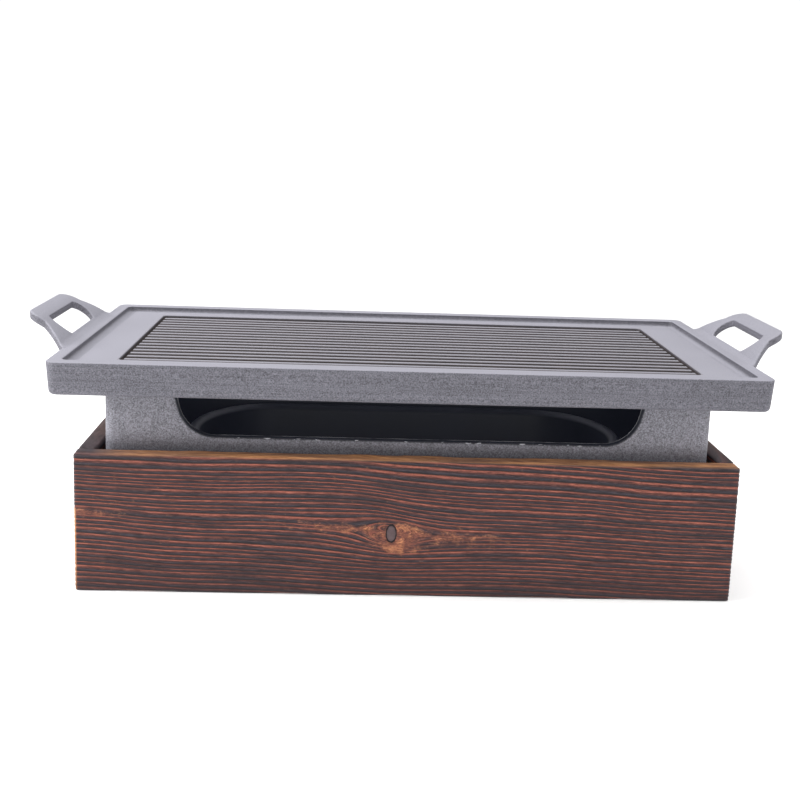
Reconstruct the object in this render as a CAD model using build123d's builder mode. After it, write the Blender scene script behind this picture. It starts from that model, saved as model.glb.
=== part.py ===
"""Tabletop hibachi grill: a ribbed cast plate on a cast stove body, which stands in a charred wood box.

The origin is on the table, under the middle of the box. +X runs along the grill, +Y to its back, +Z up.
All sizes are in millimetres.
"""

import os

from build123d import *

# Grill plate: one casting with a skirt, a raised rim, a ribbed pocket and two handles.
plate_length = 340.0
plate_width = 155.0
plate_height = 16.0
plate_corner_radius = 5.0
plate_draft = 4.0
skirt_edge_radius = 2.6
rim_width = 6.5
rim_depth = 2.5
rim_corner_radius = 3.0
rim_edge_radius = 0.7
plate_edge_radius = 0.6
floor_thickness = 6.5
channel_width = 4.5
channel_depth = 0.5
channel_edge_radius = 0.45

# Rib pocket, measured in from the foot of the rim.
pocket_end_margin = 23.0
pocket_side_margin = 13.0
pocket_depth = 3.2
pocket_corner_radius = 2.5
pocket_edge_radius = 0.4
rib_pitch = 7.0
rib_width = 4.2
rib_height = 2.6
rib_side_angle = 80.0
rib_top_radius = 1.1
rib_end_radius = 0.9
rib_end_gap = 1.2

# Handles: a bent strap at each end, measured out from the skirt.
handle_reach = 22.0
handle_rise = 14.5
handle_thickness = 4.2
handle_root_width = 94.0
handle_neck_width = 77.5
handle_neck_reach = 6.6
handle_shoulder_width = 64.0
handle_shoulder_inset = 9.4
handle_tip_width = 60.0
handle_corner_radius = 9.0
handle_edge_radius = 0.9
handle_bend_run = 4.5
handle_bend_rise = 1.9
handle_bend_inset = 3.0
finger_hole_start = 2.8
finger_hole_reach = 10.4
finger_hole_width = 42.5
finger_hole_bulge = 3.0
finger_hole_corner_radius = 1.5

# Wood box: four boards round a raised shelf.
end_overhang = 10.0
side_overhang = 10.0
box_height = 69.0
board_thickness = 9.0
board_edge_radius = 0.8
joint_gap = 0.05
shelf_thickness = 9.0
shelf_height = 28.0

# Stove body: a cast tub that stands on the shelf.
body_gap = 2.5
body_height = 69.0
body_wall = 3.0
body_floor = 3.5
body_corner_radius = 6.0
body_foot_radius = 2.5
window_end_margin = 32.5
window_side_run = 7.0
window_sill = 38.4
window_corner_radius = 18.0
window_edge_radius = 0.6
locating_rib_gap = 1.0
locating_rib_width = 3.0
locating_rib_height = 3.0

# Fuel tray: a pressed dish with round ends and a flanged rim, on the stove body's floor.
tray_end_gap = 30.0
tray_side_gap = 7.0
tray_height = 24.5
tray_wall = 1.8
tray_flange = 5.0
tray_wall_run = 4.0
tray_rim_radius = 1.6
tray_foot_radius = 3.0
tray_edge_radius = 0.5

# Brads: headless nails, set just under the wood.
brad_radius = 0.6
brad_length = 22.0
brad_set = 1.0
brad_clearance = 0.03
corner_brad_rows = 3
corner_brad_pitch = 22.0
long_shelf_brads = 4
long_shelf_brad_pitch = 75.0
short_shelf_brads = 2
short_shelf_brad_pitch = 60.0

# Places that follow from the sizes above.
box_length = plate_length - 2 * end_overhang
box_depth = plate_width - 2 * side_overhang
inner_length = box_length - 2 * board_thickness
inner_depth = box_depth - 2 * board_thickness
shelf_top = shelf_height + shelf_thickness
shelf_middle = shelf_height + shelf_thickness / 2
body_length = inner_length - 2 * body_gap
body_depth = inner_depth - 2 * body_gap
body_inner_length = body_length - 2 * body_wall
body_inner_depth = body_depth - 2 * body_wall
body_top = shelf_top + body_height
plate_underside = body_top
floor_top = plate_underside + floor_thickness
plate_top = floor_top + rim_depth
skirt_bottom = plate_top - plate_height
rim_inner_length = plate_length - 2 * rim_width
rim_inner_width = plate_width - 2 * rim_width
pocket_length = rim_inner_length - 2 * pocket_end_margin
pocket_width = rim_inner_width - 2 * pocket_side_margin
pocket_floor = floor_top - pocket_depth
rib_count = int((pocket_width - rib_width / 2) // rib_pitch)
rib_length = pocket_length - 2 * rib_end_gap
frame_length = body_inner_length - 2 * locating_rib_gap
frame_width = body_inner_depth - 2 * locating_rib_gap
tray_bottom = shelf_top + body_floor
tray_rim_top = tray_bottom + tray_height
tray_length = body_inner_length - 2 * tray_end_gap
tray_width = body_inner_depth - 2 * tray_side_gap
mouth_length = tray_length - 2 * tray_flange
mouth_width = tray_width - 2 * tray_flange
foot_length = mouth_length + 2 * tray_wall - 2 * tray_wall_run
foot_width = mouth_width + 2 * tray_wall - 2 * tray_wall_run
window_top_half = body_length / 2 - window_end_margin
window_sill_half = window_top_half - window_side_run
sill_top = shelf_top + window_sill
brad_hole_radius = brad_radius + brad_clearance
brad_line = box_length / 2 - board_thickness / 2
tolerance = 0.01

os.makedirs("parts", exist_ok=True)


def save(piece, name):
    """Label a finished piece and write it as the node of that name."""
    piece.part.label = name
    export_step(piece.part, f"parts/{name}.step")


# One handle strap at the +X end, bent upwards, with its finger hole.
root_x = plate_length / 2 - rim_width / 2
bend_start = plate_length / 2 - handle_bend_inset
tip_x = plate_length / 2 + handle_reach
bend_end = Vector(bend_start + handle_bend_run, plate_top + handle_bend_rise)
tip_top = Vector(tip_x, plate_top + handle_rise)
with BuildPart() as handle:
    with BuildSketch(Plane.XZ):
        with BuildLine():
            for drop in (Vector(0, 0), Vector(0, handle_thickness)):
                root = Line(Vector(root_x, plate_top) - drop, Vector(bend_start, plate_top) - drop)
                bend = TangentArc(root @ 1, bend_end - drop, tangent=root % 1)
                TangentArc(bend @ 1, tip_top - drop, tangent=bend % 1)
            Line((root_x, plate_top), (root_x, plate_top - handle_thickness))
            Line(tip_top, tip_top - Vector(0, handle_thickness))
        make_face()
    extrude(amount=plate_width / 2, both=True)
    with BuildSketch(Plane.XY.offset(plate_top - 2 * handle_thickness)) as strap_outline:
        with BuildLine():
            Line((root_x, 0), (root_x, handle_root_width / 2))
            straight = Line(
                (root_x, handle_root_width / 2),
                (plate_length / 2, handle_root_width / 2),
            )
            flare = ThreePointArc(
                straight @ 1,
                (plate_length / 2 + handle_neck_reach, handle_neck_width / 2),
                (tip_x - handle_shoulder_inset, handle_shoulder_width / 2),
            )
            Line(flare @ 1, (tip_x, handle_tip_width / 2))
            Line((tip_x, handle_tip_width / 2), (tip_x, 0))
            mirror(about=Plane.XZ)
        make_face()
        fillet(strap_outline.vertices().group_by(Axis.X)[-1], handle_corner_radius)
    extrude(amount=handle_rise + 3 * handle_thickness, mode=Mode.INTERSECT)
    with BuildSketch(Plane.XY.offset(plate_top - 2 * handle_thickness)) as finger_hole:
        with BuildLine():
            hole_in = plate_length / 2 + finger_hole_start
            hole_out = hole_in + finger_hole_reach
            Line((hole_in, -finger_hole_width / 2), (hole_in, finger_hole_width / 2))
            Line((hole_out, -finger_hole_width / 2), (hole_out, finger_hole_width / 2))
            for side in (-1, 1):
                ThreePointArc(
                    (hole_in, side * finger_hole_width / 2),
                    ((hole_in + hole_out) / 2, side * (finger_hole_width / 2 + finger_hole_bulge)),
                    (hole_out, side * finger_hole_width / 2),
                )
        make_face()
        fillet(finger_hole.vertices(), finger_hole_corner_radius)
    extrude(amount=handle_rise + 3 * handle_thickness, mode=Mode.SUBTRACT)
    strap_sides = handle.faces().filter_by(
        lambda face: abs(face.normal_at().Z) < tolerance
        and face.center().X > root_x + handle_edge_radius
    )
    fillet(strap_sides.edges().filter_by(Axis.Z, reverse=True), handle_edge_radius)

# Cooking ribs, with rounded tops and ends.
with BuildPart() as ribs:
    with BuildSketch(Plane.YZ) as rib_sections:
        with Locations((0, pocket_floor)):
            with GridLocations(rib_pitch, 0, rib_count, 1):
                Trapezoid(rib_width, rib_height, rib_side_angle, align=(Align.CENTER, Align.MIN))
        fillet(rib_sections.vertices().group_by(Axis.Y)[-1], rib_top_radius)
    extrude(amount=rib_length / 2, both=True)
    rib_ends = ribs.faces().filter_by(Axis.X).edges()
    fillet(rib_ends.filter_by(lambda edge: edge.center().Z > pocket_floor + tolerance), rib_end_radius)

with BuildPart() as grill_plate:
    # Skirt and top, with the draft that lets the casting leave its mould.
    with BuildSketch(Plane.XY.offset(plate_top)):
        RectangleRounded(plate_length, plate_width, plate_corner_radius)
    extrude(amount=-plate_height, taper=plate_draft)
    fillet(grill_plate.faces().sort_by(Axis.Z)[0].edges(), skirt_edge_radius)
    fillet(grill_plate.faces().sort_by(Axis.Z)[-1].edges(), plate_edge_radius)

    # Cooking floor inside the rim, with a shallow drip channel along the foot of the rim.
    with BuildSketch(Plane.XY.offset(plate_top)):
        RectangleRounded(rim_inner_length, rim_inner_width, rim_corner_radius)
    extrude(amount=-rim_depth, mode=Mode.SUBTRACT)
    fillet(grill_plate.faces().sort_by(Axis.Z)[-1].inner_wires().edges(), rim_edge_radius)
    with BuildSketch(Plane.XY.offset(floor_top)):
        RectangleRounded(rim_inner_length, rim_inner_width, rim_corner_radius)
        RectangleRounded(
            rim_inner_length - 2 * channel_width,
            rim_inner_width - 2 * channel_width,
            rim_corner_radius,
            mode=Mode.SUBTRACT,
        )
    extrude(amount=-channel_depth, mode=Mode.SUBTRACT)
    floor_face = grill_plate.faces().filter_by_position(
        Axis.Z, floor_top - tolerance, floor_top + tolerance
    )
    fillet(floor_face.edges(), channel_edge_radius)

    # Ribs, standing in a pocket and clear of its ends.
    with BuildSketch(Plane.XY.offset(floor_top)):
        RectangleRounded(pocket_length, pocket_width, pocket_corner_radius)
    extrude(amount=-pocket_depth, mode=Mode.SUBTRACT)
    floor_face = grill_plate.faces().filter_by_position(
        Axis.Z, floor_top - tolerance, floor_top + tolerance
    )
    fillet(floor_face.sort_by(SortBy.AREA)[-1].inner_wires().edges(), pocket_edge_radius)
    add(ribs.part)

    # Underside: hollow skirt, and a low frame that finds the inside of the stove body.
    with BuildSketch(Plane.XY.offset(skirt_bottom)):
        RectangleRounded(
            plate_length - 2 * rim_width, plate_width - 2 * rim_width, plate_corner_radius
        )
    extrude(amount=plate_underside - skirt_bottom, mode=Mode.SUBTRACT)
    with BuildSketch(Plane.XY.offset(plate_underside)):
        Rectangle(frame_length, frame_width)
        Rectangle(
            frame_length - 2 * locating_rib_width,
            frame_width - 2 * locating_rib_width,
            mode=Mode.SUBTRACT,
        )
    extrude(amount=-locating_rib_height)
    add(handle.part)
    add(handle.part.mirror(Plane.YZ))
save(grill_plate, "grill_plate")

# Stove body: an open tub with a long air window in the front wall and another in the back wall.
with BuildPart() as stove_body:
    with BuildSketch(Plane.XY.offset(shelf_top)):
        RectangleRounded(body_length, body_depth, body_corner_radius)
    extrude(amount=body_height)
    fillet(stove_body.faces().sort_by(Axis.Z)[0].edges(), body_foot_radius)
    with BuildSketch(Plane.XY.offset(shelf_top + body_floor)):
        RectangleRounded(body_inner_length, body_inner_depth, body_corner_radius - body_wall)
    extrude(amount=body_height - body_floor, mode=Mode.SUBTRACT)
    with BuildSketch(Plane.XZ) as window:
        with BuildLine():
            Polyline(
                (-window_top_half, body_top + body_wall),
                (-window_top_half, body_top),
                (-window_sill_half, sill_top),
                (window_sill_half, sill_top),
                (window_top_half, body_top),
                (window_top_half, body_top + body_wall),
                close=True,
            )
        make_face()
        fillet(window.vertices().group_by(Axis.Y)[0], window_corner_radius)
    extrude(amount=body_depth, both=True, mode=Mode.SUBTRACT)
    window_faces = stove_body.faces().filter_by(
        lambda face: abs(face.normal_at().Y) < tolerance
        and sill_top - tolerance < face.center().Z < body_top - tolerance
        and abs(face.center().X) < window_top_half
    )
    window_rims = window_faces.edges().filter_by(
        lambda edge: min(
            abs(abs(edge.center().Y) - body_depth / 2),
            abs(abs(edge.center().Y) - body_inner_depth / 2),
        )
        < tolerance
    )
    fillet(window_rims, window_edge_radius)
save(stove_body, "stove_body")

# Fuel tray: a drawn dish, wider at its mouth, with a flat flange rolled round its rim.
with BuildPart() as fuel_tray:
    with BuildSketch(Plane.XY.offset(tray_bottom)):
        SlotOverall(foot_length, foot_width)
    with BuildSketch(Plane.XY.offset(tray_rim_top)):
        SlotOverall(mouth_length + 2 * tray_wall, mouth_width + 2 * tray_wall)
    loft()
    fillet(fuel_tray.faces().sort_by(Axis.Z)[0].edges(), tray_foot_radius)
    with BuildSketch(Plane.XY.offset(tray_rim_top)):
        SlotOverall(tray_length, tray_width)
    extrude(amount=-tray_wall)
    with BuildSketch(Plane.XY.offset(tray_bottom + tray_wall)):
        SlotOverall(foot_length - 2 * tray_wall, foot_width - 2 * tray_wall)
    with BuildSketch(Plane.XY.offset(tray_rim_top)):
        SlotOverall(mouth_length, mouth_width)
    loft(mode=Mode.SUBTRACT)
    fillet(fuel_tray.faces().sort_by(Axis.Z)[-1].inner_wires().edges(), tray_rim_radius)
    dish_floor = fuel_tray.faces().filter_by_position(
        Axis.Z, tray_bottom + tray_wall - tolerance, tray_bottom + tray_wall + tolerance
    )
    fillet(dish_floor.edges(), tray_foot_radius)
    fillet(fuel_tray.faces().sort_by(Axis.Z)[-1].outer_wire().edges(), tray_edge_radius)
save(fuel_tray, "fuel_tray")

# Long boards run the full length of the box, and the short boards stand between them. Each face plane
# looks outwards, with its own Y along the height of the box.
FACES = {
    "front": Plane((0, -box_depth / 2, 0), x_dir=(1, 0, 0), z_dir=(0, -1, 0)),
    "back": Plane((0, box_depth / 2, 0), x_dir=(-1, 0, 0), z_dir=(0, 1, 0)),
    "left": Plane((-box_length / 2, 0, 0), x_dir=(0, -1, 0), z_dir=(-1, 0, 0)),
    "right": Plane((box_length / 2, 0, 0), x_dir=(0, 1, 0), z_dir=(1, 0, 0)),
}
CORNER_GRID = (2 * brad_line, corner_brad_pitch, 2, corner_brad_rows)
LONG_SHELF_GRID = (long_shelf_brad_pitch, 0, long_shelf_brads, 1)
SHORT_SHELF_GRID = (short_shelf_brad_pitch, 0, short_shelf_brads, 1)
BRADS = {
    "front_corner_brads": ("front", box_height / 2, CORNER_GRID),
    "back_corner_brads": ("back", box_height / 2, CORNER_GRID),
    "front_shelf_brads": ("front", shelf_middle, LONG_SHELF_GRID),
    "back_shelf_brads": ("back", shelf_middle, LONG_SHELF_GRID),
    "left_shelf_brads": ("left", shelf_middle, SHORT_SHELF_GRID),
    "right_shelf_brads": ("right", shelf_middle, SHORT_SHELF_GRID),
}


def brad_rods(name, radius, start, depth):
    """Rods on the places of one set of brads, from start to depth under the face of the board."""
    face, height, grid = BRADS[name]
    with BuildPart() as rods:
        with BuildSketch(FACES[face].offset(-start)):
            with Locations((0, height)):
                with GridLocations(*grid):
                    Circle(radius)
        extrude(amount=start - depth)
    return rods


brad_holes = {name: brad_rods(name, brad_hole_radius, 0, brad_set + brad_length) for name in BRADS}

for side in ("front", "back"):
    with BuildPart() as long_board:
        with BuildSketch(FACES[side]):
            Rectangle(box_length, box_height, align=(Align.CENTER, Align.MIN))
        extrude(amount=-board_thickness)
        fillet(long_board.edges(), board_edge_radius)
        add(brad_holes[f"{side}_corner_brads"].part, mode=Mode.SUBTRACT)
        add(brad_holes[f"{side}_shelf_brads"].part, mode=Mode.SUBTRACT)
    save(long_board, f"{side}_board")

for side in ("left", "right"):
    with BuildPart() as short_board:
        with BuildSketch(FACES[side]):
            Rectangle(inner_depth - 2 * joint_gap, box_height, align=(Align.CENTER, Align.MIN))
        extrude(amount=-board_thickness)
        fillet(short_board.edges().filter_by(Axis.Y), board_edge_radius)
        for name in ("front_corner_brads", "back_corner_brads", f"{side}_shelf_brads"):
            add(brad_holes[name].part, mode=Mode.SUBTRACT)
    save(short_board, f"{side}_board")

# Shelf: a panel nailed between the boards, above an air gap that keeps the table cool.
with BuildPart() as shelf_board:
    with BuildSketch(Plane.XY.offset(shelf_height)):
        Rectangle(inner_length - 2 * joint_gap, inner_depth - 2 * joint_gap)
    extrude(amount=shelf_thickness)
    for name in BRADS:
        if name.endswith("shelf_brads"):
            add(brad_holes[name].part, mode=Mode.SUBTRACT)
save(shelf_board, "shelf_board")

for name in BRADS:
    save(brad_rods(name, brad_radius, brad_set, brad_set + brad_length), name)
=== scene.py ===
"""Tabletop hibachi grill: a ribbed cast plate on a cast stove body, which stands in a charred wood box.

Metres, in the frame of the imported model: +X along the grill, +Y to its back, +Z up.
"""

import math

import bmesh
import bpy
import numpy as np
from mathutils import Matrix, Vector, noise


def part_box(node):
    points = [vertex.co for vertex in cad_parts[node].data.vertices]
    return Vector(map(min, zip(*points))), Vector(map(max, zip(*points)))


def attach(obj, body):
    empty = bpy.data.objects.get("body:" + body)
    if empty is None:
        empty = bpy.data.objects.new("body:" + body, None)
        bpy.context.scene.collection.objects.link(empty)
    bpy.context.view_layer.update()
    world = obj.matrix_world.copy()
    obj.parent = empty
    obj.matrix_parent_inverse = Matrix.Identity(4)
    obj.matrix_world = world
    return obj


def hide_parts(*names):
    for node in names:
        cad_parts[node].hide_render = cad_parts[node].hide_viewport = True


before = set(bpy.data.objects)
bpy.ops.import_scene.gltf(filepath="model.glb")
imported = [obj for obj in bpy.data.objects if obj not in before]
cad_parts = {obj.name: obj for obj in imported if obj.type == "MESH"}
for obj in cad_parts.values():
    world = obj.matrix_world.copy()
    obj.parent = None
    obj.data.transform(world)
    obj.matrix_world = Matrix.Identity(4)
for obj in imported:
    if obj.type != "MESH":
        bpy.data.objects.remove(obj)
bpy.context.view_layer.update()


# ---------------------------------------------------------------------------------------------------
# Front board and back board. Each is a full length of softwood, charred with a torch and then brushed,
# so that the hard dark rings stand proud of the soft red-brown wood between them. Brads hold them.
# ---------------------------------------------------------------------------------------------------

MM = 0.001
BOARD_EDGE = 1.3 * MM
RELIEF = 0.55 * MM
CUT_UP = 0.36 * MM
CUT_THROUGH = 1.0 * MM
CUT_ALONG = 3.2 * MM
CUT_AT_KNOT = 0.5 * MM
FINE_KNOT_REACH = 3.2
BOARD_MARKS = ("ring", "along", "eye", "crown", "wear", "low")

# The growth rings, in millimetres: their widths, and how they slope, wander and ripple. WANDER and RIPPLE
# are a length along the board, a height up it and a swing. HARD_ values are shares of a ring.
RING_WIDTH_TOP = 3.1
RING_WIDTH_MIDDLE = 2.15
WIDER_FROM = 40.0
WIDER_OVER = 28.0
RINGS_FROM = -40.0
RINGS_TO = 130.0
RING_SPREAD = (0.55, 1.55)
SLOPE_ALONG = 0.030
SLOPE_THROUGH = 0.30
WANDER = (95.0, 60.0, 2.6)
RIPPLE = (26.0, 9.0, 0.45)
HARD_END = 0.42
HARD_FADE = 0.16
HARD_START = 0.93
HARD_RISE = 0.07
BRUSH_LENGTH = 40.0
BRUSH_PER_RING = 0.9

# The wood about a knot, in millimetres.
KNOT_SHIFT = 1.5
KNOT_SHIFT_LENGTH = 16.0
KNOT_SHIFT_ABOVE = 14.0
KNOT_SHIFT_HEIGHT = 17.0
KNOT_FLOW_STRETCH = 2.3
KNOT_FLOW_EASE = 0.3
EMBER_LEFT = 2.6
EMBER_RIGHT = 4.4
EMBER_LENGTH = 52.0
HALO_RIGHT = 3.0
HALO_DOWN = 2.5
HALO_LENGTH = 13.0
HALO_HEIGHT = 8.0
END_SCORCH_PLACE = 156.0
END_SCORCH_HEIGHT = 1.7
END_SCORCH_LENGTH = 13.0
CRACK_HALF_WIDTH = 0.13
CRACK_CUT = 0.9
HEART_CUT = 0.12
KNOT_REACH = 1.3

# Where the char is worn off or left whole, and how far up the boards darken towards the bottom, in
# millimetres.
CHARRED_END = 8.0
CHARRED_END_FADE = 24.0
LEFT_CORNER_TOP = 42.0
RIGHT_CORNER_LENGTH = 22.0
RIGHT_CORNER_FOOT = 66.0
PATCH_LENGTH = 45.0
PATCH_DEPTH = 3.0
DARK_FOOT = 14.0


def paint(red, green, blue):
    """A colour chosen as it shows on a screen, 0 to 255, as a shader wants it."""
    shares = [channel / 255 for channel in (red, green, blue)]
    return [s / 12.92 if s <= 0.04045 else ((s + 0.055) / 1.055) ** 2.4 for s in shares] + [1.0]


def new_finish(name):
    """An empty material, its node tree and its shader."""
    finish = bpy.data.materials.new(name)
    finish.use_nodes = True
    shader = finish.node_tree.nodes["Principled BSDF"]
    return finish, finish.node_tree, shader


def add(tree, kind, inputs=None, **options):
    """Add a node, set its options, and set or link its inputs."""
    made = tree.nodes.new("ShaderNode" + kind)
    for option, value in options.items():
        setattr(made, option, value)
    for socket, value in (inputs or {}).items():
        if isinstance(value, bpy.types.NodeSocket):
            tree.links.new(value, made.inputs[socket])
        else:
            made.inputs[socket].default_value = value
    return made


def sums(tree, operation, first, second=0.0, third=0.0, clamp=False):
    """One step of arithmetic on sockets or numbers."""
    step = add(tree, "Math", {0: first, 1: second, 2: third}, operation=operation, use_clamp=clamp)
    return step.outputs[0]


def product(tree, first, *others):
    """Sockets or numbers multiplied together."""
    for other in others:
        first = sums(tree, "MULTIPLY", first, other)
    return first


def rest_of(tree, share):
    """What a share leaves of 1."""
    return sums(tree, "SUBTRACT", 1.0, share)


def swayed(tree, level, swing, soft):
    """A level that a soft noise, from 0 to 1, sways up and down by half its swing."""
    return sums(tree, "MULTIPLY_ADD", sums(tree, "SUBTRACT", soft, 0.5), swing, level)


def blend_colours(tree, share, under, over, how="MIX"):
    """Two colours mixed by a share from 0 to 1."""
    step = add(tree, "Mix", {0: share, 6: under, 7: over}, data_type="RGBA", blend_type=how)
    return step.outputs[2]


def blend_values(tree, share, under, over):
    """Two numbers mixed by a share from 0 to 1."""
    return add(tree, "Mix", {0: share, 2: under, 3: over}, data_type="FLOAT").outputs[0]


def stepped(tree, value, low, high):
    """A smooth rise from 0 to 1 as value goes from low to high."""
    inputs = {"Value": value, "From Min": low, "From Max": high}
    return add(tree, "MapRange", inputs, interpolation_type="SMOOTHSTEP").outputs[0]


def ramp(tree, value, stops):
    """A colour ramp with stops of (place, colour)."""
    made = add(tree, "ValToRGB", {0: value})
    points = made.color_ramp.elements
    while len(points) < len(stops):
        points.new(0.5)
    for point, (place, colour) in zip(points, stops):
        point.position = place
        point.color = colour
    return made.outputs[0]


def grain_noise(tree, coordinates, scale, detail=3.0, roughness=0.5, distortion=0.0):
    """Soft noise, from 0 to 1."""
    inputs = {"Vector": coordinates, "Scale": scale, "Detail": detail,
              "Roughness": roughness, "Distortion": distortion}
    return add(tree, "TexNoise", inputs).outputs[0]


def object_place(tree):
    """Where a point lies on the piece."""
    return add(tree, "TexCoord").outputs["Object"]


def drawn_out(tree, place, scale):
    """A place stretched by its own scale in each direction."""
    return add(tree, "Mapping", {"Vector": place, "Scale": scale}).outputs[0]


def roughen(tree, shader, value, low, high):
    """Roughness that follows a value from 0 to 1."""
    rough = add(tree, "MapRange", {"Value": value, "To Min": low, "To Max": high})
    tree.links.new(rough.outputs[0], shader.inputs["Roughness"])


def emboss(tree, shader, height, strength, depth):
    """Fine relief in the surface, drawn and not cut."""
    bump = add(tree, "Bump", {"Strength": strength, "Distance": depth, "Height": height})
    tree.links.new(bump.outputs[0], shader.inputs["Normal"])


def knot_tones(tree, place, mottle, knot, tone):
    """A dark heart in a black crack, laid over the wood's colour."""
    axes = add(tree, "SeparateXYZ", {0: place})
    aside = sums(tree, "SUBTRACT", axes.outputs[0], knot["x"])
    rise = sums(tree, "SUBTRACT", axes.outputs[2], knot["z"])
    aside = sums(tree, "DIVIDE", aside, knot["half_width"])
    rise = sums(tree, "DIVIDE", rise, knot["half_height"])
    span = sums(tree, "ADD", product(tree, aside, aside), product(tree, rise, rise))
    span = sums(tree, "SQRT", span)
    span = swayed(tree, span, 0.25, grain_noise(tree, place, 900.0, 2.0))
    heart = rest_of(tree, stepped(tree, span, 0.92, 1.02))
    heartwood = ramp(tree, mottle, [(0.3, paint(72, 58, 60)), (0.7, paint(98, 82, 84))])
    tone = blend_colours(tree, heart, tone, heartwood)
    from_edge = sums(tree, "ABSOLUTE", sums(tree, "SUBTRACT", span, 1.0))
    crack = rest_of(tree, stepped(tree, from_edge, 0.06, 0.16))
    return blend_colours(tree, crack, tone, paint(20, 13, 15))


def charred_finish(name, seed, knot=None):
    """Charred and brushed wood. The board's own attributes say where each point lies in its rings."""
    finish, tree, shader = new_finish(name)
    marks = {}
    for key in BOARD_MARKS:
        marks[key] = add(tree, "Attribute", attribute_name=key).outputs["Fac"]
    ring = marks["ring"]
    along = marks["along"]

    def stretched_noise(along_scale, ring_scale, shift, detail, roughness):
        spot = add(tree, "CombineXYZ", {0: product(tree, along, along_scale),
                                        1: product(tree, ring, ring_scale), 2: seed + shift})
        return grain_noise(tree, spot.outputs[0], 1.0, detail, roughness)

    fibre = stretched_noise(0.11, 4.6, 0.0, 5.0, 0.66)
    hair = stretched_noise(0.22, 15.0, 2.0, 3.0, 0.66)
    patch = stretched_noise(0.022, 0.34, 9.0, 3.0, 0.55)

    # Each ring runs from dark hard wood, through a grey slope, to the soft wood that the brush laid bare.
    soft_ring = swayed(tree, ring, 0.30, fibre)
    phase = sums(tree, "FRACT", soft_ring)
    vivid = ramp(tree, phase, [
        (0.0, paint(30, 20, 22)),
        (0.09, paint(42, 35, 40)),
        (0.30, paint(70, 63, 71)),
        (0.46, paint(78, 58, 60)),
        (0.62, paint(114, 68, 59)),
        (0.80, paint(190, 112, 92)),
        (0.92, paint(148, 82, 66)),
        (1.0, paint(34, 23, 25)),
    ])
    muted = ramp(tree, phase, [
        (0.0, paint(36, 27, 30)),
        (0.30, paint(62, 56, 63)),
        (0.62, paint(90, 60, 57)),
        (0.85, paint(122, 74, 66)),
        (1.0, paint(36, 27, 30)),
    ])
    number = product(tree, sums(tree, "FLOOR", soft_ring), 7.3)
    own_spot = add(tree, "CombineXYZ", {0: product(tree, along, 0.016), 1: number, 2: seed + 6.0})
    own = grain_noise(tree, own_spot.outputs[0], 1.0, 2.0, 0.5)
    brightness = swayed(tree, own, 1.1, patch)
    tone = blend_colours(tree, stepped(tree, brightness, 0.26, 0.54), muted, vivid)

    # Barer, redder wood about a knot.
    place = object_place(tree)
    mottle = grain_noise(tree, drawn_out(tree, place, (230.0, 230.0, 480.0)), 1.0, 5.0, 0.68)
    ember = ramp(tree, mottle, [
        (0.32, paint(92, 60, 58)),
        (0.50, paint(148, 90, 72)),
        (0.68, paint(222, 150, 104)),
    ])
    ragged = swayed(tree, marks["eye"], 1.5, mottle)
    tone = blend_colours(tree, stepped(tree, ragged, 0.10, 0.95), tone, ember)

    # Dark fibres and hair lines, slate-grey char on the top edge, pale wood where the char is worn off, and
    # darker towards the bottom.
    streaks = ramp(tree, fibre, [(0.32, paint(160, 150, 154)), (0.62, paint(255, 255, 255))])
    tone = blend_colours(tree, 1.0, tone, streaks, "MULTIPLY")
    hairs = ramp(tree, hair, [(0.36, paint(158, 152, 154)), (0.56, paint(255, 255, 255))])
    tone = blend_colours(tree, 1.0, tone, hairs, "MULTIPLY")
    slate = ramp(tree, fibre, [(0.3, paint(58, 51, 54)), (0.7, paint(96, 86, 89))])
    tone = blend_colours(tree, product(tree, marks["crown"], 0.8), tone, slate)
    bare = ramp(tree, fibre, [(0.3, paint(138, 90, 58)), (0.7, paint(218, 158, 108))])
    tone = blend_colours(tree, marks["wear"], tone, bare)
    tone = blend_colours(tree, product(tree, marks["low"], 0.5), tone, paint(50, 40, 43))
    if knot:
        tone = knot_tones(tree, place, mottle, knot, tone)

    tree.links.new(tone, shader.inputs["Base Color"])
    roughen(tree, shader, fibre, 0.46, 0.74)
    shader.inputs["Specular IOR Level"].default_value = 0.3
    emboss(tree, shader, fibre, 0.5, 0.12 * MM)
    return finish


def cut_across(bm, places, axis):
    """Cut a mesh by planes square to an axis, at the given places."""
    normal = Vector([float(axis == i) for i in range(3)])
    for place in places:
        everything = bm.verts[:] + bm.edges[:] + bm.faces[:]
        bmesh.ops.bisect_plane(bm, geom=everything, plane_co=normal * place, plane_no=normal, dist=1e-7)


def places_between(low, high, step):
    """Even places from low to high, without the ends."""
    count = max(2, round((high - low) / step))
    return [low + (high - low) * i / count for i in range(1, count)]


def board_block(low, high, long_axis, knot):
    """A block with rounded edges, cut finely enough to carry the relief of its rings."""
    inner_low = low + Vector((BOARD_EDGE, BOARD_EDGE, BOARD_EDGE))
    inner_high = high - Vector((BOARD_EDGE, BOARD_EDGE, BOARD_EDGE))
    across_axis = 1 - long_axis
    bm = bmesh.new()
    bmesh.ops.create_cube(bm, size=1.0)
    bmesh.ops.scale(bm, vec=high - low, verts=bm.verts)
    bmesh.ops.translate(bm, vec=(low + high) / 2, verts=bm.verts)
    bmesh.ops.bevel(bm, geom=bm.edges[:], offset=BOARD_EDGE, segments=3, profile=0.5,
                    affect="EDGES", material=-1)
    cut_across(bm, places_between(inner_low.z, inner_high.z, CUT_UP), 2)
    through = places_between(inner_low[across_axis], inner_high[across_axis], CUT_THROUGH)
    cut_across(bm, through, across_axis)
    columns = places_between(inner_low[long_axis], inner_high[long_axis], CUT_ALONG)
    if knot:
        reach = FINE_KNOT_REACH * knot["half_width"]
        near = places_between(knot["x"] - reach, knot["x"] + reach, CUT_AT_KNOT)
        columns = [c for c in columns if abs(c - knot["x"]) > reach] + near
    cut_across(bm, columns, long_axis)
    return bm


def clamped(value):
    """A value held between 0 and 1."""
    return min(1.0, max(0.0, value))


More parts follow.
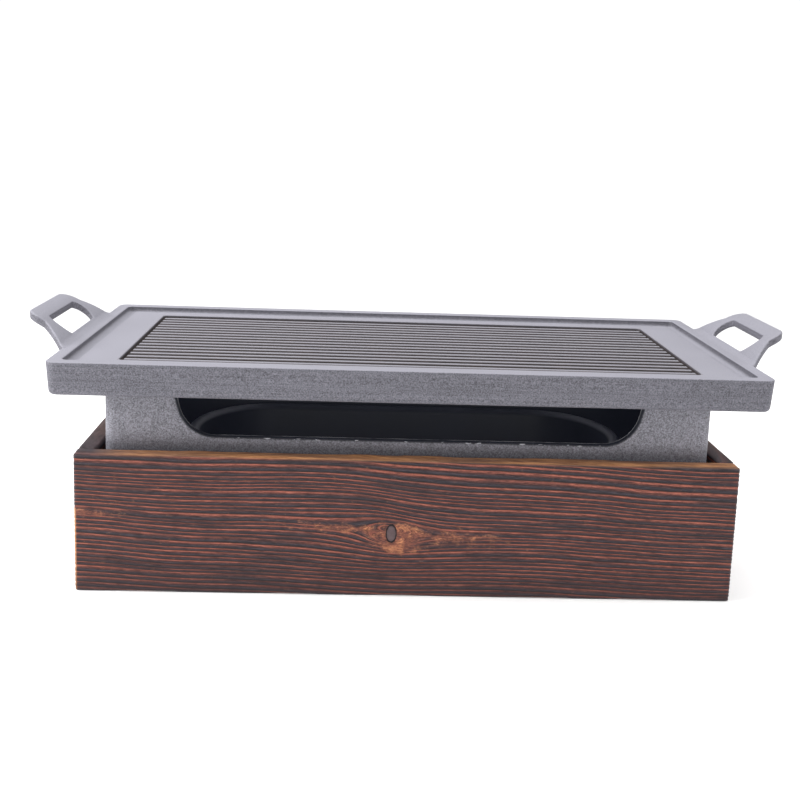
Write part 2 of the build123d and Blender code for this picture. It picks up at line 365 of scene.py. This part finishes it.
def hump(distance, width, power=2):
    """1 at no distance, and falling to nothing past a width."""
    return math.exp(-((distance / width) ** power))


def ring_edges(seed):
    """Where each ring starts, in millimetres up the board. The rings are wider near its top."""
    draw = np.random.default_rng(seed)
    edges = [RINGS_FROM]
    while edges[-1] < RINGS_TO:
        share = clamped((edges[-1] - WIDER_FROM) / WIDER_OVER)
        width = RING_WIDTH_MIDDLE + (RING_WIDTH_TOP - RING_WIDTH_MIDDLE) * share
        edges.append(edges[-1] + width * draw.uniform(*RING_SPREAD))
    return np.array(edges)


def in_the_log(along, up, seed):
    """Height in the log's own straight rings, for a point on the face of a board."""
    wander = noise.noise(Vector((along / WANDER[0], up / WANDER[1], seed)))
    ripple = noise.noise(Vector((along / RIPPLE[0], up / RIPPLE[1], seed + 5.0)))
    return up + SLOPE_ALONG * along + WANDER[2] * wander + RIPPLE[2] * ripple


def led_round_knot(height, along, up, depth, seed, knot):
    """The height with its rings led round the knot, and how bare and red the wood is there."""
    centre = knot["x"] / MM
    level = knot["z"] / MM
    aside = along - centre
    rise = up - level
    shift = math.tanh(aside / KNOT_SHIFT_LENGTH) * hump(rise - KNOT_SHIFT_ABOVE, KNOT_SHIFT_HEIGHT)
    height += KNOT_SHIFT * shift
    above = height - in_the_log(centre, level, seed) + SLOPE_THROUGH * depth
    gap = (aside / KNOT_FLOW_STRETCH) ** 2 + above * above
    flow = (knot["flow"] / MM) ** 2
    height -= above * flow / (gap + KNOT_FLOW_EASE * flow)

    band = hump(above, EMBER_RIGHT if aside > 0 else EMBER_LEFT) * hump(aside, EMBER_LENGTH, 4)
    halo = hump(((aside - HALO_RIGHT) / HALO_LENGTH) ** 2 + ((rise + HALO_DOWN) / HALO_HEIGHT) ** 2, 1.0)
    scorch = hump(above, END_SCORCH_HEIGHT) * hump(along + END_SCORCH_PLACE, END_SCORCH_LENGTH)
    return height, min(1.0, max(0.66 * band, halo, 0.95 * scorch))


def brushed_depth(ring, along, seed):
    """How deep the brush cut, from 0 on hard wood to 1 in the softest."""
    phase = ring % 1.0
    hard = max(1.0 - clamped((phase - HARD_END) / HARD_FADE), clamped((phase - HARD_START) / HARD_RISE))
    strength = 0.55 + 0.45 * noise.noise(Vector((along / BRUSH_LENGTH, ring * BRUSH_PER_RING, seed + 2.0)))
    return (1.0 - hard) * strength


def on_crown(normal):
    """How far a point lies on the board's rounded top edge."""
    return clamped((normal.z - 0.4) / 0.4)


def rubbed_bare(normal, long_axis, from_left, from_right, up, patchy):
    """How far the char is worn off: along the top edge, low on the left corner and high on the right."""
    past_char = clamped((from_left - CHARRED_END) / CHARRED_END_FADE)
    on_corner = 1.0 if -0.95 < normal[long_axis] < -0.4 and up < LEFT_CORNER_TOP else 0.0
    if from_right < RIGHT_CORNER_LENGTH and up > RIGHT_CORNER_FOOT:
        on_corner = 0.7
    along_top = on_crown(normal) * clamped(0.75 + 0.7 * patchy) * past_char
    return max(along_top, 0.8 * on_corner * (0.6 + patchy))


def as_object(bm, name, sharp=None):
    """The finished mesh as a smooth object, but for edges sharper than an angle in degrees."""
    mesh = bpy.data.meshes.new(name)
    bm.to_mesh(mesh)
    bm.free()
    for face in mesh.polygons:
        face.use_smooth = True
    if sharp:
        mesh.set_sharp_from_angle(angle=math.radians(sharp))
    piece = bpy.data.objects.new(name, mesh)
    bpy.context.scene.collection.objects.link(piece)
    return piece


def make_board(name, long_axis, outward, seed, finish, worn, knot=None):
    """A board in place of a CAD node, with its rings cut in relief."""
    low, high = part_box(name)
    middle = (low + high) / 2
    half_length = (high[long_axis] - low[long_axis]) / 2 / MM
    bm = board_block(low, high, long_axis, knot)
    edges = ring_edges(seed)
    for key in BOARD_MARKS:
        bm.verts.layers.float.new(key)
    layers = {key: bm.verts.layers.float[key] for key in BOARD_MARKS}
    bm.normal_update()
    verts = bm.verts[:]
    moves = []
    for vert in verts:
        along = (vert.co[long_axis] - middle[long_axis]) / MM
        up = vert.co.z / MM
        depth = (vert.co[1 - long_axis] - middle[1 - long_axis]) / MM * outward
        endways = abs(vert.normal[long_axis])
        height = in_the_log(along, up, seed) - SLOPE_THROUGH * depth
        eye = 0.0
        if knot:
            height, eye = led_round_knot(height, along, up, depth, seed, knot)
        ring = float(np.interp(height, edges, np.arange(len(edges))))
        groove = brushed_depth(ring, along, seed) * (1.0 - 0.75 * eye)
        if knot:
            span = math.hypot((vert.co[long_axis] - knot["x"]) / knot["half_width"],
                              (vert.co.z - knot["z"]) / knot["half_height"])
            if span < KNOT_REACH:
                groove = CRACK_CUT if abs(span - 1.0) < CRACK_HALF_WIDTH else HEART_CUT
        groove *= 1.0 - 0.6 * endways
        moves.append(vert.normal * (-RELIEF * groove))
        patchy = noise.noise(Vector((along / PATCH_LENGTH, depth / PATCH_DEPTH, seed + 7.0)))
        wear = rubbed_bare(vert.normal, long_axis, along + half_length, half_length - along, up, patchy)
        end_edge = clamped((endways - 0.3) / 0.4)
        vert[layers["ring"]] = ring
        vert[layers["along"]] = along
        vert[layers["eye"]] = eye
        vert[layers["crown"]] = max(on_crown(vert.normal), 0.7 * end_edge)
        vert[layers["wear"]] = worn * wear
        vert[layers["low"]] = clamped((DARK_FOOT - up) / DARK_FOOT)
    for vert, move in zip(verts, moves):
        vert.co += move
    board = as_object(bm, name.replace("_board", "_plank"))
    board.data.materials.append(finish)
    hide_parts(name)
    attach(board, "wood_box")


front_knot = {"x": -8.3 * MM, "z": 32.0 * MM, "half_width": 2.4 * MM, "half_height": 4.4 * MM,
              "flow": 6.0 * MM}
front_finish = charred_finish("charred wood front", 3.0, front_knot)
make_board("front_board", 0, -1, 11, front_finish, 0.95, front_knot)
make_board("back_board", 0, 1, 29, charred_finish("charred wood back", 17.0), 0.15)


# ---------------------------------------------------------------------------------------------------
# Left board and right board. They are cut from the same charred softwood, and stand between the long
# boards with butt joints.
# ---------------------------------------------------------------------------------------------------

make_board("left_board", 1, -1, 41, charred_finish("charred wood left", 31.0), 0.08)
make_board("right_board", 1, 1, 53, charred_finish("charred wood right", 47.0), 0.08)


# ---------------------------------------------------------------------------------------------------
# Shelf and brads. The shelf is a plain softwood panel inside the box, for the stove body to stand on.
# Headless steel brads nail it between the boards, and the boards to each other.
# ---------------------------------------------------------------------------------------------------

def dress(name, finish):
    """Give a CAD node its finish."""
    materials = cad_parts[name].data.materials
    materials.clear()
    materials.append(finish)


plain_wood, tree, shader = new_finish("plain softwood")
figure = grain_noise(tree, drawn_out(tree, object_place(tree), (6.0, 260.0, 260.0)), 1.0, 5.0, 0.6, 0.6)
shelf_tones = [(0.3, paint(150, 108, 72)), (0.55, paint(190, 146, 100)), (0.75, paint(168, 122, 80))]
tree.links.new(ramp(tree, figure, shelf_tones), shader.inputs["Base Color"])
shader.inputs["Roughness"].default_value = 0.7
emboss(tree, shader, figure, 0.4, 0.15 * MM)
dress("shelf_board", plain_wood)

brad_steel, tree, shader = new_finish("brad steel")
drawn = grain_noise(tree, object_place(tree), 3000.0, 2.0)
steel_tones = [(0.3, paint(120, 118, 116)), (0.7, paint(168, 166, 162))]
tree.links.new(ramp(tree, drawn, steel_tones), shader.inputs["Base Color"])
shader.inputs["Metallic"].default_value = 1.0
shader.inputs["Roughness"].default_value = 0.42
for brads in [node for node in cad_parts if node.endswith("_brads")]:
    dress(brads, brad_steel)


# ---------------------------------------------------------------------------------------------------
# Stove body. A cast aluminium tub, open at the top, with a notch for air in its front and back walls.
# It is sprayed with a grey stone-effect coating outside, and then black inside.
# ---------------------------------------------------------------------------------------------------

WINDOW_SILL = 75.4 * MM
WINDOW_SILL_HALF = 109.0 * MM
WINDOW_CORNER = 18.0 * MM
WINDOW_SIDE_LEAN = math.atan2(7.0, 30.6)
OVERSPRAY_NEAR = 0.5 * MM
OVERSPRAY_FAR = 1.5 * MM
OVERSPRAY_FEATHER = 0.8 * MM
SHADE_LOW = 67.0 * MM
SHADE_HIGH = 78.0 * MM
BODY_CORNER = 6.0 * MM
CORNER_COAT = 1.5 * MM
BODY_FOOT = 2.5 * MM
WALL = 3.0 * MM
SKIN = 0.04 * MM
# Where the painted highlight along the window's inner edge lies, measured in from the wall's outer face.
HIGHLIGHT_LINE_START = (WALL - 1.1 * MM, WALL - 0.8 * MM)
HIGHLIGHT_LINE_END = (WALL - 0.12 * MM, WALL - 0.03 * MM)
TURNED_UP = (0.35, 0.85)
FINE_SPECKLE = 1600.0
COARSE_SPECKLE = 420.0
CLOUDS = 22.0
COARSE_SHARE = 0.18
TOP_SHARE = 0.22
CLOUD_SWING = 0.16
SPRAY_LINES = (30.0, 30.0, 1300.0)
COAT_ROUGHNESS = 0.6
COAT_SHINE = 0.35
COAT_DEPTH = 0.05 * MM
FLAKE_STRETCH = (210.0, 210.0, 700.0)

# Light glances about inside the hollow tub and keeps its black from going quite dark. This stands for it.
BLACK_LIFT = 0.42


def smooth_copy(node, piece_name, sharp):
    """A merged copy of a CAD node's mesh, smooth but for edges sharper than an angle in degrees."""
    bm = bmesh.new()
    bm.from_mesh(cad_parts[node].data)
    bmesh.ops.remove_doubles(bm, verts=bm.verts, dist=1e-6)
    piece = as_object(bm, piece_name, sharp)
    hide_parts(node)
    return piece


def turned_up(tree):
    """How far a face looks up, from 0 for a wall to 1 for a top."""
    facing = add(tree, "SeparateXYZ", {0: add(tree, "NewGeometry").outputs["Normal"]}).outputs[2]
    return stepped(tree, facing, *TURNED_UP)


def stone_coat(name, shaded_side_tone, lit_top_tone, speckle, streaks):
    """Speckled grey stone-effect coating, smoother on the faces that look up, which are painted lighter than
    the walls as painted light from above.
    """
    finish, tree, shader = new_finish(name)
    place = object_place(tree)
    upward = turned_up(tree)
    fine = grain_noise(tree, place, FINE_SPECKLE, 1.0, 0.6)
    coarse = grain_noise(tree, place, COARSE_SPECKLE, 1.0, 0.5)
    cloud = grain_noise(tree, place, CLOUDS, 3.0, 0.5)
    lines = grain_noise(tree, drawn_out(tree, place, SPRAY_LINES), 1.0, 3.0, 0.6)
    grains = swayed(tree, 1.0, speckle, fine)
    grains = swayed(tree, grains, COARSE_SHARE * speckle, coarse)
    grains = swayed(tree, grains, streaks, lines)
    smooth = swayed(tree, 1.0, TOP_SHARE * speckle, fine)
    level = swayed(tree, blend_values(tree, upward, grains, smooth), CLOUD_SWING, cloud)
    # Painted light: faces that look up take the lighter tone, walls the darker one.
    tone = blend_colours(tree, upward, shaded_side_tone, lit_top_tone)
    tone = add(tree, "VectorMath", {0: tone, "Scale": level}, operation="SCALE").outputs[0]
    tree.links.new(tone, shader.inputs["Base Color"])
    shader.inputs["Roughness"].default_value = COAT_ROUGHNESS
    shader.inputs["Specular IOR Level"].default_value = COAT_SHINE
    emboss(tree, shader, blend_values(tree, upward, fine, 0.5), 0.5, COAT_DEPTH)
    return finish, tree, shader, tone, place


def black_coat(name, shine):
    """Satin black enamel, with a faint glow that is painted light."""
    finish, tree, shader = new_finish(name)
    place = object_place(tree)
    peel = grain_noise(tree, place, 700.0, 2.0, 0.5)
    smudge = grain_noise(tree, place, 30.0, 4.0, 0.6)
    tone = ramp(tree, smudge, [(0.3, paint(24, 26, 34)), (0.7, paint(30, 32, 41))])
    tree.links.new(tone, shader.inputs["Base Color"])
    roughen(tree, shader, smudge, 0.36, 0.5)
    shader.inputs["Specular IOR Level"].default_value = shine
    tree.links.new(tone, shader.inputs["Emission Color"])
    shader.inputs["Emission Strength"].default_value = BLACK_LIFT
    emboss(tree, shader, peel, 0.2, COAT_DEPTH)
    return finish, tree, shader, tone, place


def gap_from_window(tree, axes, below):
    """How far a point of a long wall lies outside its window, which has leaning sides and round corners."""
    lean_cos = math.cos(WINDOW_SIDE_LEAN)
    lean_sin = math.sin(WINDOW_SIDE_LEAN)
    past_end = sums(tree, "SUBTRACT", sums(tree, "ABSOLUTE", axes.outputs[0]), WINDOW_SILL_HALF)
    beside = sums(tree, "MULTIPLY_ADD", past_end, lean_cos, product(tree, below, lean_sin))
    out = sums(tree, "ADD", beside, WINDOW_CORNER)
    down = sums(tree, "ADD", below, WINDOW_CORNER)
    squares = sums(tree, "MULTIPLY_ADD", out, out, product(tree, down, down))
    squares = sums(tree, "ADD", squares, product(tree, out, down, -2.0 * lean_sin))
    from_centre = sums(tree, "DIVIDE", sums(tree, "SQRT", squares), lean_cos)
    round_gap = sums(tree, "SUBTRACT", from_centre, WINDOW_CORNER)
    past_side = sums(tree, "GREATER_THAN", out, product(tree, down, lean_sin))
    past_sill = sums(tree, "GREATER_THAN", down, product(tree, out, lean_sin))
    in_corner = product(tree, past_side, past_sill)
    return blend_values(tree, in_corner, sums(tree, "MAXIMUM", beside, below), round_gap)


# Outside: painted shade that darkens it low down, near the wood box, and black that went past the windows'
# edges and chipped off in places.
body_low, body_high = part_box("stove_body")
body_grey, tree, shader, tone, place = stone_coat(
    "stone coat body", paint(127, 126, 134), paint(146, 145, 153), 2.2, 0.0)
axes = add(tree, "SeparateXYZ", {0: place})
# Painted shade: the coat darkens towards the bottom, near the wood box.
painted_low_shade = rest_of(tree, stepped(tree, axes.outputs[2], SHADE_LOW, SHADE_HIGH))
tone = blend_colours(tree, product(tree, painted_low_shade, 0.45), tone, paint(60, 59, 65))
below = sums(tree, "SUBTRACT", WINDOW_SILL, axes.outputs[2])
feather = grain_noise(tree, place, 700.0, 3.0, 0.6)
gap = swayed(tree, gap_from_window(tree, axes, below), OVERSPRAY_FEATHER, feather)
overspray = rest_of(tree, stepped(tree, gap, OVERSPRAY_NEAR, OVERSPRAY_FAR))
tone = blend_colours(tree, overspray, tone, paint(26, 28, 36))
flakes = grain_noise(tree, drawn_out(tree, place, FLAKE_STRETCH), 1.0, 2.0, 0.5)
chipped = product(tree, stepped(tree, flakes, 0.63, 0.66), stepped(tree, below, 0.1 * MM, 0.5 * MM))
tone = blend_colours(tree, product(tree, chipped, overspray), tone, paint(190, 190, 196))
tree.links.new(tone, shader.inputs["Base Color"])

# Inside: black, but for a painted highlight, a thin bright line along the window's inner edge, broken into
# patches by noise.
inside_black, tree, shader, tone, place = black_coat("black coat inside", 0.3)
along_y = add(tree, "SeparateXYZ", {0: place}).outputs[1]
depth_in = sums(tree, "SUBTRACT", body_high.y, sums(tree, "ABSOLUTE", along_y))
near_edge = stepped(tree, depth_in, *HIGHLIGHT_LINE_START)
past_edge = stepped(tree, depth_in, *HIGHLIGHT_LINE_END)
painted_edge_highlight = sums(tree, "SUBTRACT", near_edge, past_edge, clamp=True)
highlight_patches = stepped(tree, grain_noise(tree, place, 60.0, 3.0, 0.6), 0.30, 0.62)
painted_edge_highlight = product(tree, painted_edge_highlight, highlight_patches)
tree.links.new(blend_colours(tree, painted_edge_highlight, tone, paint(238, 238, 242)), shader.inputs["Base Color"])

tub = smooth_copy("stove_body", "stove_tub", 40.0)
tub.data.materials.append(body_grey)
tub.data.materials.append(inside_black)
for face in tub.data.polygons:
    middle = face.center
    on_side = abs(middle.y) > body_high.y - SKIN or abs(middle.x) > body_high.x - SKIN
    into_corner = Vector((abs(middle.x) - (body_high.x - BODY_CORNER),
                          abs(middle.y) - (body_high.y - BODY_CORNER)))
    on_corner = min(into_corner) > 0 and into_corner.length > BODY_CORNER - CORNER_COAT
    under = middle.z < body_low.z + BODY_FOOT + SKIN and face.normal.z < 0.1
    face.material_index = 0 if (on_side or on_corner or under) else 1
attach(tub, "stove")


# ---------------------------------------------------------------------------------------------------
# Fuel tray. A pressed steel dish with round ends and a rolled rim, enamelled black. It stands loose on
# the tub's floor. It is drawn up, ring by ring, from the outline of its foot.
# ---------------------------------------------------------------------------------------------------

# Points of the wall as (in from the outline, height), in millimetres: up outside, over the rim, down inside.
TRAY_FOOT = (10.2, 40.5)
TRAY_WALL_OUTSIDE = ((8.6, 40.9), (7.5, 42.0), (7.0, 43.5), (3.85, 61.0), (3.4, 62.6))
TRAY_RIM = ((2.6, 63.2), (0.9, 63.2), (0.3, 63.35), (0.0, 63.8), (0.1, 64.3), (0.5, 64.7), (1.2, 64.93),
            (2.0, 65.0), (2.9, 64.93), (3.7, 64.65), (4.4, 64.15), (5.0, 63.4), (5.4, 62.3))
TRAY_WALL_INSIDE = ((5.7, 61.0), (8.35, 46.0), (8.9, 44.3), (9.8, 43.1), (11.2, 42.45), (12.6, 42.3))
END_STEPS = 96
RIM_FOOT = 62.2 * MM
RIM_CREST = 64.4 * MM
RIM_LIT_FROM = 68.0 * MM
RIM_LIT_TO = 112.0 * MM

tray_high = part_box("fuel_tray")[1]
end_radius = tray_high.y
end_centre = tray_high.x - end_radius


def lay_ring(points, inset, height):
    """Lay a ring of points round the dish, in from its outline and up at a height, in millimetres."""
    for vert in points:
        centre = Vector((math.copysign(end_centre, vert.co.x), 0.0))
        spoke = (vert.co.xy - centre).normalized() * (end_radius - inset * MM)
        vert.co = (*(centre + spoke), height * MM)


tray_bm = bmesh.new()
bmesh.ops.create_circle(tray_bm, cap_ends=True, segments=END_STEPS, radius=end_radius,
                        matrix=Matrix.Rotation(math.pi / END_STEPS, 4, "Z"))
for vert in tray_bm.verts:
    vert.co.x += math.copysign(end_centre, vert.co.x)
rim_edges = tray_bm.edges[:]
lay_ring(tray_bm.verts, *TRAY_FOOT)
for inset, height in TRAY_WALL_OUTSIDE + TRAY_RIM + TRAY_WALL_INSIDE:
    grown = bmesh.ops.extrude_edge_only(tray_bm, edges=rim_edges)["geom"]
    points = {item for item in grown if isinstance(item, bmesh.types.BMVert)}
    new_edges = [item for item in grown if isinstance(item, bmesh.types.BMEdge)]
    rim_edges = [edge for edge in new_edges if points.issuperset(edge.verts)]
    lay_ring(points, inset, height)
bmesh.ops.contextual_create(tray_bm, geom=rim_edges)
bmesh.ops.recalc_face_normals(tray_bm, faces=tray_bm.faces)
tray = as_object(tray_bm, "fuel_dish", 50.0)
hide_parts("fuel_tray")

# Painted highlight: the rim is painted lighter, and lightest towards the tray's ends.
enamel, tree, shader, tone, place = black_coat("black enamel tray", 0.35)
axes = add(tree, "SeparateXYZ", {0: place})
on_rim = stepped(tree, axes.outputs[2], RIM_FOOT, RIM_CREST)
at_end = stepped(tree, sums(tree, "ABSOLUTE", axes.outputs[0]), RIM_LIT_FROM, RIM_LIT_TO)
painted_rim_highlight = blend_colours(tree, at_end, paint(78, 80, 88), paint(150, 152, 160))
tree.links.new(blend_colours(tree, on_rim, tone, painted_rim_highlight), shader.inputs["Base Color"])
tray.data.materials.append(enamel)
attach(tray, "tray")


# ---------------------------------------------------------------------------------------------------
# Grill plate. One aluminium casting: skirt, rim, drip channel, ribbed pocket and a handle at each end.
# It has the stone-effect coating, smoother on its top, and rests loose on the stove body's high ends.
# ---------------------------------------------------------------------------------------------------

POCKET_HALF = (141.1 * MM, 58.6 * MM)
RIM_HALF = (163.7 * MM, 71.2 * MM)
PLATE_TOP_FROM = 108.0 * MM
GROOVE_TOP = 111.9 * MM
GROOVE_DEEP = 111.5 * MM


def within(tree, axes, half):
    """1 inside a rectangle about the middle, and 0 outside it."""
    in_length = sums(tree, "LESS_THAN", sums(tree, "ABSOLUTE", axes.outputs[0]), half[0])
    in_width = sums(tree, "LESS_THAN", sums(tree, "ABSOLUTE", axes.outputs[1]), half[1])
    return product(tree, in_length, in_width)


plate = smooth_copy("grill_plate", "ribbed_plate", 40.0)
plate_coat, tree, shader, tone, place = stone_coat(
    "stone coat plate", paint(98, 97, 105), paint(130, 129, 138), 2.1, 0.9)
axes = add(tree, "SeparateXYZ", {0: place})
on_top = sums(tree, "GREATER_THAN", axes.outputs[2], PLATE_TOP_FROM)

# A little grime over the whole pocket, painted shade on the channel's walls, and painted shade in the
# grooves between the ribs.
in_pocket = product(tree, within(tree, axes, POCKET_HALF), on_top)
tone = blend_colours(tree, product(tree, in_pocket, 0.2), tone, paint(74, 64, 62))
on_wall = rest_of(tree, turned_up(tree))
painted_wall_shade = product(tree, within(tree, axes, RIM_HALF), on_top, on_wall, 0.45)
tone = blend_colours(tree, painted_wall_shade, tone, paint(60, 59, 65))
sunk = rest_of(tree, stepped(tree, axes.outputs[2], GROOVE_DEEP, GROOVE_TOP))
groove_shade_patches = grain_noise(tree, place, 160.0, 3.0, 0.6)
painted_groove_shade = ramp(tree, groove_shade_patches, [(0.3, paint(36, 31, 31)), (0.7, paint(56, 48, 48))])
tone = blend_colours(tree, product(tree, in_pocket, sunk), tone, painted_groove_shade)
tree.links.new(tone, shader.inputs["Base Color"])
plate.data.materials.append(plate_coat)
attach(plate, "plate")


# ---------------------------------------------------------------------------------------------------
# Studio. A pale floor fades into a white room. Four soft lamps stand round the grill: a broad one
# overhead, a strong one to its left, a weaker one to its right and a faint one in front.
# ---------------------------------------------------------------------------------------------------

FLOOR_RADIUS = 1.5
FLOOR_FADES_FROM = 0.45
FLOOR_FADES_TO = 1.2
FLOOR_GLOW = 0.12
ROOM_LIGHT = 0.36
ROOM_AS_SEEN = 1.05
WHITE = (1.0, 1.0, 1.0, 1.0)

floor_bm = bmesh.new()
bmesh.ops.create_circle(floor_bm, cap_ends=True, segments=128, radius=FLOOR_RADIUS)
floor = as_object(floor_bm, "floor")
floor_paint, tree, shader = new_finish("floor paint")
away = add(tree, "VectorMath", {0: object_place(tree)}, operation="LENGTH").outputs["Value"]
fade = stepped(tree, away, FLOOR_FADES_FROM, FLOOR_FADES_TO)
shader.inputs["Base Color"].default_value = (0.93, 0.93, 0.93, 1.0)
shader.inputs["Emission Color"].default_value = WHITE
shader.inputs["Emission Strength"].default_value = FLOOR_GLOW
shader.inputs["Roughness"].default_value = 0.9
clear = add(tree, "BsdfTransparent")
both = add(tree, "MixShader", {0: fade, 1: shader.outputs[0], 2: clear.outputs[0]})
tree.links.new(both.outputs[0], tree.nodes["Material Output"].inputs["Surface"])
floor.data.materials.append(floor_paint)

room = bpy.data.worlds.new("white room")
bpy.context.scene.world = room
room.use_nodes = True
tree = room.node_tree
seen = add(tree, "LightPath").outputs["Is Camera Ray"]
strength = add(tree, "MapRange", {"Value": seen, "To Min": ROOM_LIGHT, "To Max": ROOM_AS_SEEN})
tree.links.new(strength.outputs[0], tree.nodes["Background"].inputs["Strength"])
tree.nodes["Background"].inputs["Color"].default_value = WHITE


def softbox(name, place, target, width, height, power):
    """A soft rectangular lamp, turned towards a point."""
    lamp = bpy.data.lights.new(name, "AREA")
    lamp.shape = "RECTANGLE"
    lamp.size = width
    lamp.size_y = height
    lamp.energy = power
    holder = bpy.data.objects.new(name, lamp)
    holder.location = place
    holder.rotation_euler = (Vector(target) - Vector(place)).to_track_quat("-Z", "Y").to_euler()
    bpy.context.scene.collection.objects.link(holder)


softbox("top softbox", (0.0, 0.25, 1.0), (0.0, 0.0, 0.0), 1.2, 0.9, 10.5)
softbox("left softbox", (-0.9, -0.2, 0.60), (0.0, 0.0, 0.08), 0.5, 0.5, 14.5)
softbox("right softbox", (0.9, -0.2, 0.60), (0.0, 0.0, 0.08), 0.5, 0.5, 5.5)
softbox("front softbox", (0.1, -1.2, 0.5), (0.0, 0.0, 0.06), 1.0, 0.6, 3.0)

CAMERA_LENS = 46.68
CAMERA_PLACE = (-0.0279, -0.5432, 0.2265)
CAMERA_TURN = 0.0414
CAMERA_TILT = 0.1612
CAMERA_ROLL = 0.0357
CAMERA_RISE = -0.1314
NEAREST_SEEN = 0.01

lens = bpy.data.cameras.new("camera")
lens.lens = CAMERA_LENS
lens.shift_y = CAMERA_RISE
lens.clip_start = NEAREST_SEEN
camera = bpy.data.objects.new("camera", lens)
camera.location = CAMERA_PLACE
turned = (Matrix.Rotation(-CAMERA_TURN, 3, "Z") @ Matrix.Rotation(math.pi / 2 - CAMERA_TILT, 3, "X")
          @ Matrix.Rotation(CAMERA_ROLL, 3, "Z"))
camera.rotation_euler = turned.to_euler()
bpy.context.scene.collection.objects.link(camera)
bpy.context.scene.camera = camera
bpy.context.scene.view_settings.view_transform = "Standard"
